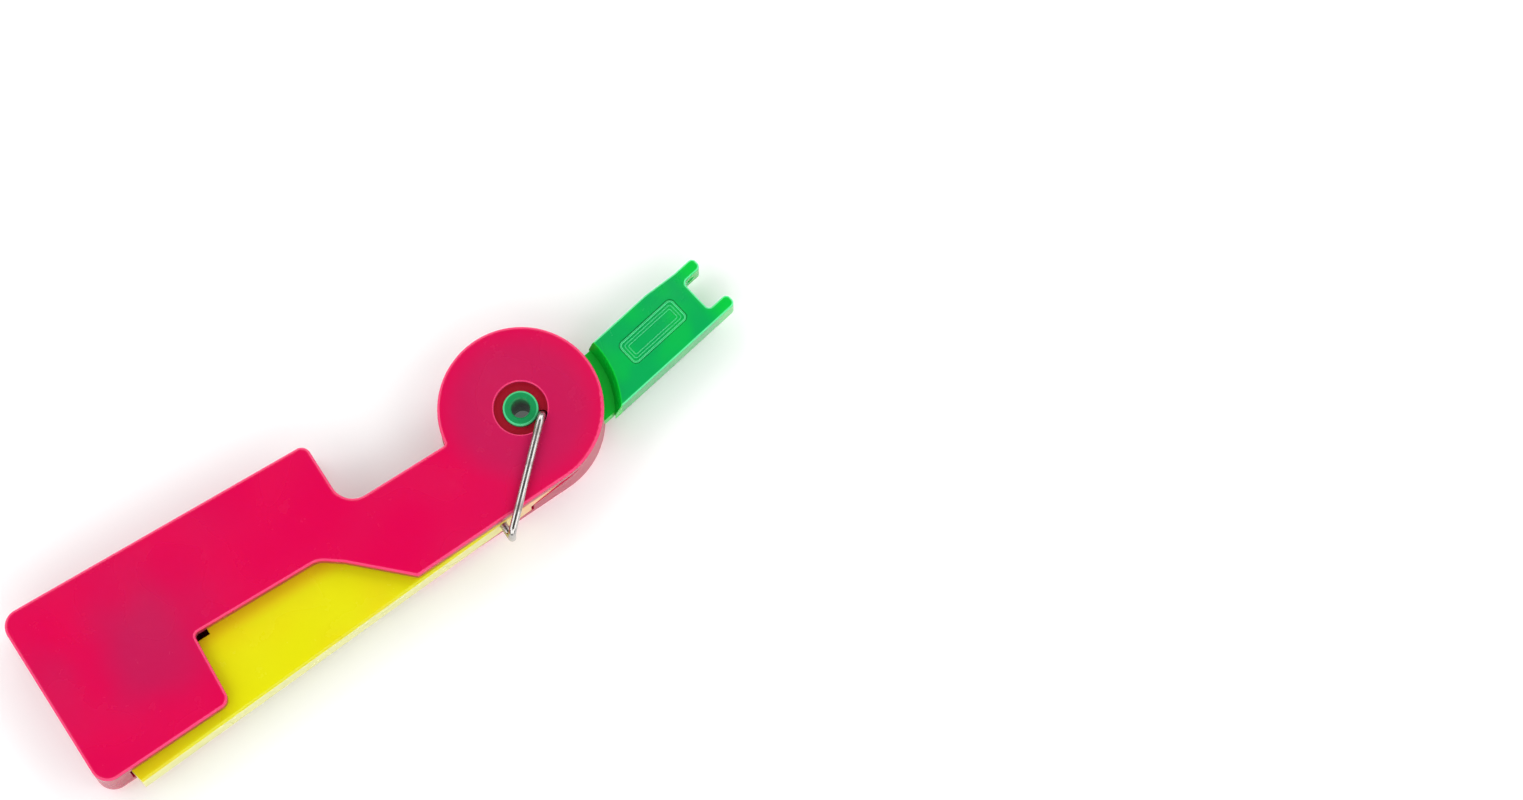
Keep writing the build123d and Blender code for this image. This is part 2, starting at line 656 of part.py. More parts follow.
def needle_hole():
    """Hole for the needle: through the upper prong and a little way into the lower one."""
    upper = ARM_UPPER - PRONG_INSET
    end = -ARM_LOWER + LOWER_PRONG_W - NEEDLE_SEAT
    hole = Cylinder(NEEDLE_HOLE_R, upper + OVERRUN - end, align=(Align.CENTER, Align.CENTER, Align.MIN))
    funnel = flare(NEEDLE_HOLE_R, 0, NEEDLE_FUNNEL)
    shape = Pos(needle_x(), end, NEEDLE_Z) * Rot(-90, 0, 0) * hole
    return shape + Pos(needle_x(), upper, NEEDLE_Z) * Rot(-90, 0, 0) * funnel


def panel():
    shape = block(PANEL_FROM, PANEL_TO, -PANEL_LOWER, -PANEL_UPPER)
    return fillet(shape.vertices(), PANEL_CORNER_R)


def blade_slot():
    half = BLADE_W / 2 + SLIDE_CLEAR
    slot = block(POCKET_TO - OVERRUN, ARM_ROOT + OVERRUN, slider_y() - half, slider_y() + half)
    return slab(slot, NEEDLE_Z - BLADE_T / 2 - SLIDE_CLEAR, NEEDLE_Z + BLADE_T / 2 + SLIDE_CLEAR)


def trunnion():
    """Pin that turns in both cheeks."""
    pin = post(TRUNNION_R, TRUNNION_INSET, TOTAL - TRUNNION_INSET)
    ends = rim_edges(pin, TRUNNION_INSET) + rim_edges(pin, TOTAL - TRUNNION_INSET)
    return chamfer(ends, MOUTH)


def arm():
    """Forked head, tongue and hollow trunnion in one moulding."""
    solid = slab(fork_outline(), HEAD_Z0, HEAD_Z1)
    front = [e for e in rim_edges(solid, HEAD_Z1) if e.center().X > STEP_R + STEP_RAMP]
    solid = fillet(front, HEAD_EDGE_R)
    rear = [e for e in rim_edges(solid, HEAD_Z0) if e.center().X > STEP_R + STEP_RAMP]
    solid = chamfer(rear, HEAD_REAR_CHAMFER)
    solid -= step_ramp()
    solid += slab(tongue_outline(), HEAD_Z0 + TONGUE_STEP, TONGUE_Z1)
    solid += post(THRUST_R, TONGUE_Z0, TONGUE_Z1)
    solid += trunnion()
    solid -= post(TRUNNION_BORE_R, 0, TOTAL)
    solid -= flare(TRUNNION_BORE_R, TOTAL - TRUNNION_INSET, MOUTH)
    solid -= flare(TRUNNION_BORE_R, TRUNNION_INSET, -MOUTH)
    solid -= slab(channel(-HUB_R, BLOCK_FROM), 0, slider_z() + SLIDER_T + SLIDE_CLEAR)
    solid -= slab(pocket(), 0, HEAD_Z1 - POCKET_SKIN)
    solid -= slab(cover_outline(), 0, HEAD_Z0 + COVER_T)
    solid -= slab(panel(), HEAD_Z1 - PANEL_DEPTH, TOTAL)
    solid -= blade_slot()
    return in_arm(solid - needle_hole())


def head_cover():
    plate = offset(cover_outline(), -COVER_FIT, kind=Kind.INTERSECTION)
    return in_arm(slab(plate, HEAD_Z0, HEAD_Z0 + COVER_T))


# ---- drive
def hook_slider():
    """Strip that passes the trunnion, and a block in the head that holds the blade."""
    half = SLIDER_W / 2
    wide = SLIDER_BLOCK_W / 2
    low = slider_z()
    strip = block(-SLIDER_TAIL, BLOCK_FROM + OVERRUN, slider_y() - half, slider_y() + half)
    carrier = block(BLOCK_FROM, BLOCK_FROM + BLOCK_LEN, slider_y() - wide, slider_y() + wide)
    solid = slab(strip, low, low + SLIDER_T)
    solid += slab(carrier, low, HEAD_Z1 - POCKET_SKIN - SLIDE_CLEAR)
    socket = block(
        BLOCK_FROM + BLOCK_LEN - BLADE_ROOT, FAR, slider_y() - BLADE_W / 2, slider_y() + BLADE_W / 2
    )
    return in_arm(solid - slab(socket, NEEDLE_Z - BLADE_T / 2, NEEDLE_Z + BLADE_T / 2))


def hook_blade():
    tip = ARM_ROOT - BLADE_BACK
    strip = block(
        BLOCK_FROM + BLOCK_LEN - BLADE_ROOT, tip, slider_y() - BLADE_W / 2, slider_y() + BLADE_W / 2
    )
    strip -= area(
        (tip, slider_y() - BLADE_W / 2 + BLADE_LAND),
        (tip - BLADE_FORK, slider_y()),
        (tip, slider_y() + BLADE_W / 2 - BLADE_LAND),
    )
    return in_arm(slab(strip, NEEDLE_Z - BLADE_T / 2, NEEDLE_Z + BLADE_T / 2))


def rod_nose_x():
    """Centre of the rod's rounded nose, a push gap away from the slider's tail."""
    face_x, _ = turned(-SLIDER_TAIL, slider_y(), ARM_REST)
    return face_x - (ROD_W / 2 + PUSH_GAP) * cos(radians(ARM_REST))


def push_rod():
    """Bar with a round nose, a foot below it and the cam pin that stands in the lever's slot."""
    half = ROD_W / 2
    nose = rod_nose_x()
    bar = block(-CAM_PIN_X, nose, -ROD_DROP - half, -ROD_DROP + half) + disc(half, nose, -ROD_DROP)
    foot = disc(ROD_BOSS_R, -CAM_PIN_X, -CAM_PIN_DROP) + block(
        -CAM_PIN_X - ROD_BOSS_R, -CAM_PIN_X + ROD_BOSS_R, -CAM_PIN_DROP, -ROD_DROP + half
    )
    solid = slab(bar + foot, TONGUE_Z0, TONGUE_Z0 + ROD_T)
    return solid + post(CAM_PIN_R, TONGUE_Z0, EAR_Z1 - LAYER_GAP, -CAM_PIN_X, -CAM_PIN_DROP)


# ---- springs
def spring_rise():
    """Place of the spring's rise beside the trunnion, and the direction the coil runs there."""
    angle = radians(LEG_EXIT_ANGLE)
    along = Vector(-sin(angle), cos(angle), 0)
    return Vector(COIL_R * cos(angle), COIL_R * sin(angle), 0) + along * RISE_BEND_R, along


def lever_spring():
    """Torsion spring: hidden leg, part turn round the trunnion, rise through the ring, outer leg."""
    leave = radians(COIL_LEAVE_ANGLE)
    exit_angle = radians(LEG_EXIT_ANGLE + 360)
    middle = (leave + exit_angle) / 2
    coil_z = EAR_Z1 - WIRE_R - COIL_INSET
    face_z = TOTAL + WIRE_R + LEG_CLEAR
    start = Vector(HIDDEN_LEG, COIL_R * sin(leave), coil_z)
    coil_in, coil_mid, coil_out = [
        Vector(COIL_R * cos(a), COIL_R * sin(a), coil_z) for a in (leave, middle, exit_angle)
    ]
    rise, along = spring_rise()
    foot = Vector(rise.X, rise.Y, coil_z + RISE_BEND_R)
    bend = coil_out + along * (RISE_BEND_R * sin(radians(45)))
    bend += Vector(0, 0, RISE_BEND_R * (1 - cos(radians(45))))
    top = Vector(rise.X, rise.Y, face_z)
    edge_y = lever_y(-LEG_BACK)
    end = Vector(-LEG_BACK, edge_y - LEG_OUT, face_z)
    drop = Vector(-LEG_BACK, edge_y - LEG_OUT, leg_height())
    tip = Vector(-LEG_BACK, edge_y + LEG_TIP, leg_height())
    outer = FilletPolyline(foot, top, end, drop, tip, radius=WIRE_BEND_R)
    coil = [Line(start, coil_in), ThreePointArc(coil_in, coil_mid, coil_out)]
    path = Wire(coil + [ThreePointArc(coil_out, bend, foot)] + outer.edges())
    section = Plane(origin=start, z_dir=coil_in - start) * RegularPolygon(WIRE_R, WIRE_SIDES)
    return sweep(section, path=path)


def slider_spring():
    """Compression spring that sends the slider back."""
    start = BLOCK_FROM + BLOCK_LEN + SPRING_SEAT
    length = POCKET_TO - SPRING_SEAT - start - RETURN_WIRE
    path = Helix(pitch=length / RETURN_TURNS, height=length, radius=RETURN_COIL_R)
    section = Plane(origin=path @ 0, z_dir=path % 0) * Rectangle(RETURN_WIRE, RETURN_WIRE)
    coil = sweep(section, path=path, is_frenet=True)
    placed = Pos(start + RETURN_WIRE / 2, slider_y(), NEEDLE_Z) * Rot(0, 90, 0) * coil
    return in_arm(placed)


# ---- whole tool
def build():
    return {
        "rear_shell": rear_shell(),
        "front_shell": front_shell(),
        "press_lever": lever(),
        "pivot_arm": arm(),
        "head_cover": head_cover(),
        "hook_slider": hook_slider(),
        "hook_blade": hook_blade(),
        "push_rod": push_rod(),
        "lever_spring": lever_spring(),
        "slider_spring": slider_spring(),
    }


def main():
    os.makedirs("parts", exist_ok=True)
    pieces = build()
    box = Compound(children=[Compound(p.solids()) for p in pieces.values()]).bounding_box()
    shift = Pos(-(box.min.X + box.max.X) / 2, -(box.min.Y + box.max.Y) / 2, -box.min.Z)
    for name, piece in pieces.items():
        solids = piece.solids()
        shape = solids[0] if len(solids) == 1 else Compound(solids)
        export_step(shift * shape, f"parts/{name}.step")
        print(f"{name:14s} solids {len(solids)} volume {piece.volume:8.2f}")
    print("size", box.size, "hub axis at", -(box.min.X + box.max.X) / 2, -(box.min.Y + box.max.Y) / 2)


main()
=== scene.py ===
"""Needle threader: plastics, steel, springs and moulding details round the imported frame."""
import json
import math

import bmesh
import bpy
from mathutils import Matrix, Vector


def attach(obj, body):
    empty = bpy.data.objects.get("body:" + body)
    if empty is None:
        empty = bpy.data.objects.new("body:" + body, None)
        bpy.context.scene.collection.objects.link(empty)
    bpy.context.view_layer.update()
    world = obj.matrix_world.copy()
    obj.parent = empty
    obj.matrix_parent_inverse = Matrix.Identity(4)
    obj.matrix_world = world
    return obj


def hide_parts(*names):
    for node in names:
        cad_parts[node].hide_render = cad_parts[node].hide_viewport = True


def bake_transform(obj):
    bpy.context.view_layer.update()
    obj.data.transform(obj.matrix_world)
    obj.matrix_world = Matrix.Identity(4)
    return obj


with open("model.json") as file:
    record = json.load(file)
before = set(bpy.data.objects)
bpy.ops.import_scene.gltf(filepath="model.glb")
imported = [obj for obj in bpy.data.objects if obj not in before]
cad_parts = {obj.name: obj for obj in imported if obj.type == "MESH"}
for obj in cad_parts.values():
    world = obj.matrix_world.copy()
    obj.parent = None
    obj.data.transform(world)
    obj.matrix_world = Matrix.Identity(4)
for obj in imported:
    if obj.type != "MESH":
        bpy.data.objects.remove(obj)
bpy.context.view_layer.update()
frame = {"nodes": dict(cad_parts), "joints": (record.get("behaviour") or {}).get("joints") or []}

bl_info = {
    "name": "Needle threader",
    "version": (1, 0, 0),
    "blender": (4, 5, 0),
    "location": "View3D > Sidebar > Threader",
    "description": "Gives a folding needle threader its springs, moulding details, plastics and steel",
    "category": "Add Mesh",
}

MM = 0.001
JOINTS = {joint["name"]: joint for joint in frame["joints"]}
HUB = Vector(JOINTS["arm_fold"]["pos_m"])
ARM_AXIS = Vector(JOINTS["hook_slide"]["axis"])
ARM_ANGLE = math.atan2(ARM_AXIS.y, ARM_AXIS.x)


# Places in millimetres. X and Y are measured from the hub axis, and Z from the face the tool lies on.
TRUNNION_EDGE = (2.2, 2.4)     # the arm's trunnion ends between these radii; its end in the recess gets painted shade
TRUNNION_LIP = (1.72, 1.80)    # and the painted highlight on its lip starts between these
RING_EDGE = (2.94, 3.00)       # edge of the ring in the front cheek; inside it the ring's floor gets painted shade
RAMP_EDGE = (11.0, 11.2)       # top of the ramp at the head's inner end; painted light inside it
PANEL = (12.6, 20.7, -4.9, -1.7)
BEAD_Z = 5.18
BEADS = (                      # name, inset from the panel's outline, corner radius
    ("panel_bead", 0.22, 0.5),
    ("panel_line_outer", 0.62, 0.3),
    ("panel_line_inner", 0.95, 0.2),
)
COIL_TOP = 5.35                # top of the lever spring's coil
LEG_UNDERSIDE = 7.04           # underside of its outer leg, just above the front cheek
HIDDEN_LEG = 6.2
COIL_START, COIL_END = math.radians(90.0), math.radians(299.5)
RISE_BEND = 0.5
LEG_END_X = -8.3
LEG_OUT = 1.96                 # leg's end to the lever's edge
LEG_TIP = 1.2                  # length of the tip in the lever
TIP_Z = 4.65
LEVER_SLOPE, LEVER_EDGE = 0.0675, 8.98
SLIDER_Y, SLIDER_Z = -3.7, 3.5
SLIDER_BLOCK_END, POCKET_END = 15.2, 19.9
SPRING_SEAT = 0.06
FINE_COIL = 0.87


def at_hub(x, y, z=0.0):
    """A point in metres, from millimetres along the handle, measured from the hub axis and the rest face."""
    return Vector((HUB.x + x * MM, HUB.y + y * MM, z * MM))


def at_arm(x, y, z=0.0):
    """The same, with x along the arm."""
    turn = Matrix.Rotation(ARM_ANGLE, 3, "Z")
    return at_hub(0, 0, z) + turn @ Vector((x * MM, y * MM, 0))


# ---------------------------------------------------------------- settings
def colour(name, text, value):
    return bpy.props.FloatVectorProperty(
        name=name, description=text, subtype="COLOR", size=3, min=0.0, max=1.0, default=value
    )


def length(name, text, value):
    return bpy.props.FloatProperty(
        name=name, description=text, subtype="DISTANCE", unit="LENGTH", default=value
    )


def fraction(name, text, value):
    return bpy.props.FloatProperty(
        name=name, description=text, subtype="FACTOR", min=0.0, max=1.0, default=value
    )


def angle(name, text, degrees):
    return bpy.props.FloatProperty(
        name=name, description=text, subtype="ANGLE", unit="ROTATION", default=math.radians(degrees)
    )


class ThreaderPlastics(bpy.types.PropertyGroup):
    """Colours and gloss of the moulded pieces."""

    shell: colour("Shell", "Pink of the two cheeks", (0.68, 0.0, 0.070))
    # Painted shade where parts behind show through the cheek, mixed with random cloudy tone.
    shell_shade_and_tone: colour("Shell, deep", "Pink where more plastic lies behind the cheek", (0.50, 0.010, 0.085))
    # Painted shade on the cheeks' upright sides.
    shell_side_shade: colour("Shell, side", "Duller pink of the cheeks' narrow sides", (0.44, 0.012, 0.060))
    shell_edge: colour("Shell, edge", "Light that gathers in the cheeks' rounded edges", (1.0, 0.060, 0.22))
    # Painted shade on the floor of the ring's recess.
    ring: colour("Ring", "Red at the bottom of the ring round the trunnion", (0.44, 0.008, 0.026))
    lever: colour("Lever", "Yellow of the thumb lever", (0.72, 0.70, 0.002))
    # Painted reflection of the pink cheeks, also used for random cloudy tone.
    lever_reflection_and_tone: colour("Lever, warm", "Yellow close to the pink cheeks", (0.76, 0.50, 0.004))
    lever_strip: colour("Lever, strip", "Cream of the thin strip beside the hub", (0.86, 0.52, 0.25))
    # Painted sheen on the lever's upright sides.
    lever_side_sheen: colour("Lever, side", "Pale yellow of the lever's narrow sides", (0.76, 0.76, 0.26))
    arm: colour("Arm", "Green of the arm's head", (0.0, 0.38, 0.085))
    # Painted light that shows through the thin prongs and lifts the recessed tongue; also used for random
    # cloudy tone.
    arm_glow_and_tone: colour("Arm, thin", "Green where the arm is thin", (0.0, 0.62, 0.035))
    # Painted shade on the trunnion's end in its recess and bore.
    arm_trunnion_shade: colour("Arm, trunnion", "Green of the trunnion's end", (0.006, 0.26, 0.075))
    arm_edge: colour("Arm, edge", "Light that gathers in the arm's edges", (0.12, 0.95, 0.42))
    slider: colour("Slides", "Natural white of the slider and the push rod", (0.72, 0.72, 0.66))
    gloss: fraction("Roughness", "Roughness of a polished face", 0.24)


class ThreaderSteel(bpy.types.PropertyGroup):
    """Steel wire and strip."""

    tint: colour("Steel", "Colour of bright steel", (0.52, 0.50, 0.48))
    tarnish: colour("Tarnish", "Colour of steel that has been handled", (0.34, 0.30, 0.28))
    wire: length("Wire", "Diameter of the lever spring's wire", 0.88 * MM)
    bend: length("Bend", "Bend radius of the lever spring's leg", 0.95 * MM)
    coil: length("Coil", "Radius of the lever spring's coil", 2.42 * MM)
    fine_wire: length("Fine wire", "Diameter of the slider spring's wire", 0.24 * MM)
    turns: bpy.props.FloatProperty(
        name="Turns", description="Turns of the slider spring", default=4.0, min=2.0
    )


class ThreaderDetails(bpy.types.PropertyGroup):
    """Small raised lines of the mouldings."""

    bead: length("Bead", "Width of the bead round the head's panel", 0.24 * MM)
    line: length("Line", "Width of the fine lines inside the bead", 0.11 * MM)


class ThreaderStage(bpy.types.PropertyGroup):
    """Floor, lights and camera."""

    floor: colour("Floor", "Colour of the floor", (0.92, 0.92, 0.92))
    floor_glow: fraction("Floor glow", "Light that comes up through the floor", 0.10)
    boxes: bpy.props.IntProperty(name="Softboxes", description="Lights in the ring", default=6, min=1)
    box_size: length("Softbox", "Diameter of each light", 0.9)
    box_power: bpy.props.FloatProperty(
        name="Power", description="Power of each light", subtype="POWER", unit="POWER", default=3.9
    )
    box_reach: length("Reach", "Distance of the lights", 1.0)
    box_height: angle("Height", "How high the lights stand above the floor", 35.0)
    sky: fraction("Sky", "Strength of the even light from all round", 0.08)
    distance: length("Distance", "Camera to the point it looks at", 655.4 * MM)
    azimuth: angle("Azimuth", "Direction that the camera looks in", 57.5)
    elevation: angle("Elevation", "How steeply the camera looks down", 78.24)
    lens: bpy.props.FloatProperty(
        name="Lens", description="Focal length", subtype="DISTANCE_CAMERA", default=140.0
    )


# ---------------------------------------------------------------- shader building
class Nodes:
    """Adds nodes to one material and links them."""

    def __init__(self, name):
        self.material = bpy.data.materials.new(name)
        self.material.use_nodes = True
        self.tree = self.material.node_tree
        self.shader = self.tree.nodes["Principled BSDF"]
        self.place = self.add("ShaderNodeTexCoord").outputs["Object"]

    def add(self, kind, **settings):
        node = self.tree.nodes.new(kind)
        for key, value in settings.items():
            setattr(node, key, value)
        return node

    def put(self, value, socket):
        if isinstance(value, bpy.types.NodeSocket):
            self.tree.links.new(value, socket)
        elif hasattr(socket.default_value, "__len__") and len(value) < len(socket.default_value):
            socket.default_value = (*value, 1)
        else:
            socket.default_value = value

    def noise(self, scale, detail=2.0, roughness=0.5, stretch=(1, 1, 1)):
        mapping = self.add("ShaderNodeMapping")
        self.put(stretch, mapping.inputs["Scale"])
        self.put(self.place, mapping.inputs["Vector"])
        noise = self.add("ShaderNodeTexNoise")
        self.put(scale, noise.inputs["Scale"])
        self.put(detail, noise.inputs["Detail"])
        self.put(roughness, noise.inputs["Roughness"])
        self.put(mapping.outputs["Vector"], noise.inputs["Vector"])
        return noise.outputs["Fac"]

    def math(self, operation, a, b=0.0):
        node = self.add("ShaderNodeMath", operation=operation)
        self.put(a, node.inputs[0])
        self.put(b, node.inputs[1])
        return node.outputs[0]

    def ramp(self, value, low, high, out_low=0.0, out_high=1.0):
        node = self.add("ShaderNodeMapRange", interpolation_type="SMOOTHSTEP")
        ends = {"Value": value, "From Min": low, "From Max": high, "To Min": out_low, "To Max": out_high}
        for name, number in ends.items():
            self.put(number, node.inputs[name])
        return node.outputs["Result"]

    def mix(self, share, a, b):
        node = self.add("ShaderNodeMix", data_type="RGBA")
        sockets = {socket.identifier: socket for socket in node.inputs}
        self.put(share, sockets["Factor_Float"])
        self.put(a, sockets["A_Color"])
        self.put(b, sockets["B_Color"])
        return next(out for out in node.outputs if out.identifier == "Result_Color")

    def vector(self, operation, a, b):
        node = self.add("ShaderNodeVectorMath", operation=operation)
        self.put(a, node.inputs[0])
        self.put(b, node.inputs[1])
        return node

    def distance_to(self, point):
        """How far each surface point lies from a place, seen from above."""
        offset = self.vector("SUBTRACT", self.place, point).outputs["Vector"]
        flat = self.vector("MULTIPLY", offset, (1, 1, 0)).outputs["Vector"]
        size = self.add("ShaderNodeVectorMath", operation="LENGTH")
        self.put(flat, size.inputs[0])
        return size.outputs["Value"]

    def along(self, origin, direction):
        """How far each surface point lies from a place in one direction."""
        offset = self.vector("SUBTRACT", self.place, origin).outputs["Vector"]
        return self.vector("DOT_PRODUCT", offset, direction).outputs["Value"]

    def tilt(self):
        """0 on upright sides and 1 on faces that look straight up or down."""
        normal = self.place.node.outputs["Normal"]
        return self.math("ABSOLUTE", self.vector("DOT_PRODUCT", normal, (0, 0, 1)).outputs["Value"])

    def sides(self):
        return self.ramp(self.tilt(), 0.05, 0.35, 1, 0)

    def edges(self):
        """1 on rounded edges and chamfers."""
        tilt = self.tilt()
        return self.math("MULTIPLY", self.ramp(tilt, 0.25, 0.5), self.ramp(tilt, 0.86, 0.985, 1, 0))

    def bump(self, height, distance, strength=1.0, over=None):
        node = self.add("ShaderNodeBump")
        self.put(strength, node.inputs["Strength"])
        self.put(distance, node.inputs["Distance"])
        self.put(height, node.inputs["Height"])
        if over is not None:
            self.put(over, node.inputs["Normal"])
        return node.outputs["Normal"]

    def finish(self, base, roughness, normal, **fixed):
        self.put(base, self.shader.inputs["Base Color"])
        self.put(roughness, self.shader.inputs["Roughness"])
        self.put(normal, self.shader.inputs["Normal"])
        for name, value in fixed.items():
            self.shader.inputs[name.replace("_", " ")].default_value = value
        return self.material


def mm(*sizes):
    """Millimetres in metres."""
    return [size * MM for size in sizes]


def dress(node_name, material):
    """Give a carried-over node its material."""
    mesh = frame["nodes"][node_name].data
    mesh.materials.clear()
    mesh.materials.append(material)


# ---------------------------------------------------------------- finishes
def moulded_surface(nodes, gloss, sinks=()):
    """Polished moulding: slow waves, shallow sink marks where they are given, and fine handling marks."""
    waves = nodes.noise(130, 0)
    grain = nodes.noise(7000, 2)
    handled = nodes.noise(520, 3, 0.6)
    rough = nodes.math("ADD", nodes.ramp(waves, 0.3, 0.7, gloss - 0.03, gloss + 0.05),
                       nodes.ramp(handled, 0.55, 0.80, 0.0, 0.08))
    relief = nodes.bump(waves, 0.00008, 0.35)
    for place, radius in sinks:
        relief = nodes.bump(nodes.ramp(nodes.distance_to(place), 0.0, radius), 0.00005, 0.5, over=relief)
    return rough, nodes.bump(grain, 0.000003, 0.3, over=relief)


# Two shallow sink marks in the cheeks, each with its radius in metres.
SHELL_SINKS = (
    (at_hub(-50.5, -0.2), 2.2 * MM),
    (at_hub(-33.5, 6.0), 2.2 * MM),
)


def shell_plastic(look):
    nodes = Nodes("shell_plastic")
    rough, relief = moulded_surface(nodes, look.gloss, SHELL_SINKS)
    from_hub = nodes.distance_to(at_hub(0, 0))
    clouds = nodes.ramp(nodes.noise(85, 1, 0.4), 0.36, 0.70)
    # Painted shade: darker round the hub end, and mottled in the tail where parts lie behind the cheek; body
    # is random cloudy tone.
    tail_shade = nodes.ramp(nodes.distance_to(at_hub(-50, 1)), *mm(3, 16), 0.9, 0)
    round_end_shade = nodes.ramp(from_hub, *mm(5.5, 10.5), 0.85, 0)
    body = nodes.math("MULTIPLY", clouds, 0.22)
    tail_shade_clouds = nodes.math("MULTIPLY", tail_shade, clouds)
    behind = nodes.math("MAXIMUM", round_end_shade, nodes.math("MAXIMUM", tail_shade_clouds, body))
    base = nodes.mix(behind, look.shell, look.shell_shade_and_tone)
    # Painted shade on upright sides, picked by the face normal.
    base = nodes.mix(nodes.sides(), base, look.shell_side_shade)
    base = nodes.mix(nodes.math("MULTIPLY", nodes.edges(), 0.75), base, look.shell_edge)
    # Painted shade on the ring's recessed floor, inside its edge.
    base = nodes.mix(nodes.ramp(from_hub, *mm(*RING_EDGE), 1, 0), base, look.ring)
    return nodes.finish(
        base, rough, relief, Specular_IOR_Level=0.30, Subsurface_Weight=0.12,
        Subsurface_Radius=(1.0, 0.05, 0.15), Subsurface_Scale=0.0006,
    )


def lever_plastic(look):
    nodes = Nodes("lever_plastic")
    rough, relief = moulded_surface(nodes, look.gloss)
    # Painted reflection of the pink cheeks on the lever close to them; the clouds are random tone.
    cheek_reflection = nodes.ramp(nodes.along(at_hub(0, -3.2), (0, 1, 0)), *mm(-1.8, 0.6), 0.0, 0.8)
    clouds = nodes.ramp(nodes.noise(110, 1), 0.42, 0.72, 0.0, 0.30)
    base = nodes.mix(nodes.math("MAXIMUM", cheek_reflection, clouds), look.lever, look.lever_reflection_and_tone)
    strip = nodes.ramp(nodes.along(at_hub(0, 0), (1, 0, 0)), *mm(-12, -4))
    base = nodes.mix(strip, base, look.lever_strip)
    # Painted sheen on upright sides, picked by the face normal, kept off the strip by the hub.
    side_sheen = nodes.math("MULTIPLY", nodes.sides(), nodes.math("SUBTRACT", 1.0, strip))
    base = nodes.mix(side_sheen, base, look.lever_side_sheen)
    return nodes.finish(
        base, rough, relief, Specular_IOR_Level=0.42, Subsurface_Weight=0.3,
        Subsurface_Radius=(1.0, 1.0, 0.35), Subsurface_Scale=0.0010,
    )


def arm_plastic(look):
    nodes = Nodes("arm_plastic")
    rough, relief = moulded_surface(nodes, look.gloss)
    from_hub = nodes.distance_to(at_hub(0, 0))
    clouds = nodes.ramp(nodes.noise(230, 1), 0.42, 0.72, 0.0, 0.30)
    # Painted glow on the thin prongs; the clouds are random tone.
    prong_glow = nodes.ramp(nodes.along(at_arm(0, 0), ARM_AXIS), *mm(21.5, 24.5), 0.0, 0.7)
    base = nodes.mix(nodes.math("MAXIMUM", clouds, prong_glow), look.arm, look.arm_glow_and_tone)
    base = nodes.mix(nodes.math("MULTIPLY", nodes.edges(), 0.8), base, look.arm_edge)
    # Painted light over the recessed tongue and ramp, inside the ramp's top.
    base = nodes.mix(nodes.ramp(from_hub, *mm(*RAMP_EDGE), 1, 0), base, look.arm_glow_and_tone)
    # Painted shade on the trunnion's end, inside the recess, and on its bore.
    trunnion = nodes.ramp(from_hub, *mm(*TRUNNION_EDGE), 1, 0)
    base = nodes.mix(trunnion, base, look.arm_trunnion_shade)
    # Painted highlight on the trunnion's lip.
    lip = nodes.math("MULTIPLY", nodes.ramp(from_hub, *mm(*TRUNNION_LIP)), trunnion)
    base = nodes.mix(nodes.math("MULTIPLY", lip, 0.6), base, look.arm_edge)
    return nodes.finish(
        base, rough, relief, Specular_IOR_Level=0.5, Subsurface_Weight=0.15,
        Subsurface_Radius=(0.2, 1.0, 0.4), Subsurface_Scale=0.0006,
    )


def slide_plastic(look):
    nodes = Nodes("slide_plastic")
    rough, relief = moulded_surface(nodes, look.gloss + 0.15)
    yellowed = nodes.ramp(nodes.noise(300, 2), 0.4, 0.7, 0.0, 0.4)
    base = nodes.mix(yellowed, look.slider, (0.66, 0.62, 0.5))
    return nodes.finish(base, rough, relief, Subsurface_Weight=0.2, Subsurface_Scale=0.0005)


def steel(name, metal, stretch):
    """Drawn or rolled steel: fine lines along the work, smudges and slight tarnish."""
    nodes = Nodes(name)
    lines = nodes.noise(5000, 3, 0.6, stretch=stretch)
    smudge = nodes.noise(650, 1)
    base = nodes.mix(nodes.ramp(smudge, 0.45, 0.80), metal.tint, metal.tarnish)
    worn = nodes.ramp(smudge, 0.3, 0.7, 0.16, 0.28)
    rough = nodes.math("ADD", worn, nodes.math("MULTIPLY", lines, 0.08))
    return nodes.finish(base, rough, nodes.bump(lines, 0.000003, 0.3), Metallic=1.0)


# ---------------------------------------------------------------- wires and beads along a path
def round_path_tree():
    """Geometry nodes that turn a path of edges into a round wire with its material."""
    tree = bpy.data.node_groups.new("round_path", "GeometryNodeTree")
    face = tree.interface
    face.new_socket("Path", in_out="INPUT", socket_type="NodeSocketGeometry")
    face.new_socket("Radius", in_out="INPUT", socket_type="NodeSocketFloat")
    face.new_socket("Sides", in_out="INPUT", socket_type="NodeSocketInt")
    face.new_socket("Material", in_out="INPUT", socket_type="NodeSocketMaterial")
    face.new_socket("Wire", in_out="OUTPUT", socket_type="NodeSocketGeometry")
    add, link = tree.nodes.new, tree.links.new
    given, out = add("NodeGroupInput"), add("NodeGroupOutput")
    curve, circle = add("GeometryNodeMeshToCurve"), add("GeometryNodeCurvePrimitiveCircle")
    sweep, smooth = add("GeometryNodeCurveToMesh"), add("GeometryNodeSetShadeSmooth")
    realize, paint = add("GeometryNodeRealizeInstances"), add("GeometryNodeSetMaterial")
    sweep.inputs["Fill Caps"].default_value = True
    link(given.outputs["Path"], curve.inputs["Mesh"])
    link(given.outputs["Radius"], circle.inputs["Radius"])
    link(given.outputs["Sides"], circle.inputs["Resolution"])
    link(curve.outputs["Curve"], sweep.inputs["Curve"])
    link(circle.outputs["Curve"], sweep.inputs["Profile Curve"])
    link(sweep.outputs["Mesh"], smooth.inputs["Geometry"])
    link(smooth.outputs["Geometry"], realize.inputs["Geometry"])
    link(realize.outputs["Geometry"], paint.inputs["Geometry"])
    link(given.outputs["Material"], paint.inputs["Material"])
    link(paint.outputs["Geometry"], out.inputs["Wire"])
    return tree


